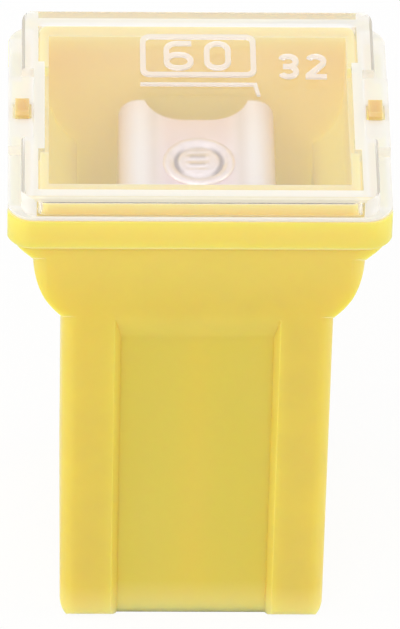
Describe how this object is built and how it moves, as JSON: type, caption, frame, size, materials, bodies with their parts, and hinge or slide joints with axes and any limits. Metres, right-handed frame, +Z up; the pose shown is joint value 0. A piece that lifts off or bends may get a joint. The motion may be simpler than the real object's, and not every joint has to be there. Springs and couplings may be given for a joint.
{
  "type": "automotive cartridge fuse",
  "caption": "Female-terminal cartridge fuse: moulded yellow housing, clear latched cover with raised numerals, and a folded sheet-metal link with blade sockets.",
  "frame": {"origin": "middle of the base, on the plane that the fuse stands on", "axes": "+Z up from the base to the cover, +X to the right across the two terminals, -Y to the front"},
  "size_m": [0.015, 0.0116, 0.0229],
  "materials": {
    "housing_moulding": "satin moulded yellow nylon",
    "clear_moulding": "clear moulded plastic",
    "tinned_copper": "bright tin plate on copper alloy",
    "tin": "pressed tin"
  },
  "bodies": {
    "root": {"housing": "housing_moulding", "cover": "clear_moulding", "fuse_element": "tinned_copper", "tin_pill": "tin"}
  },
  "joints": []
}
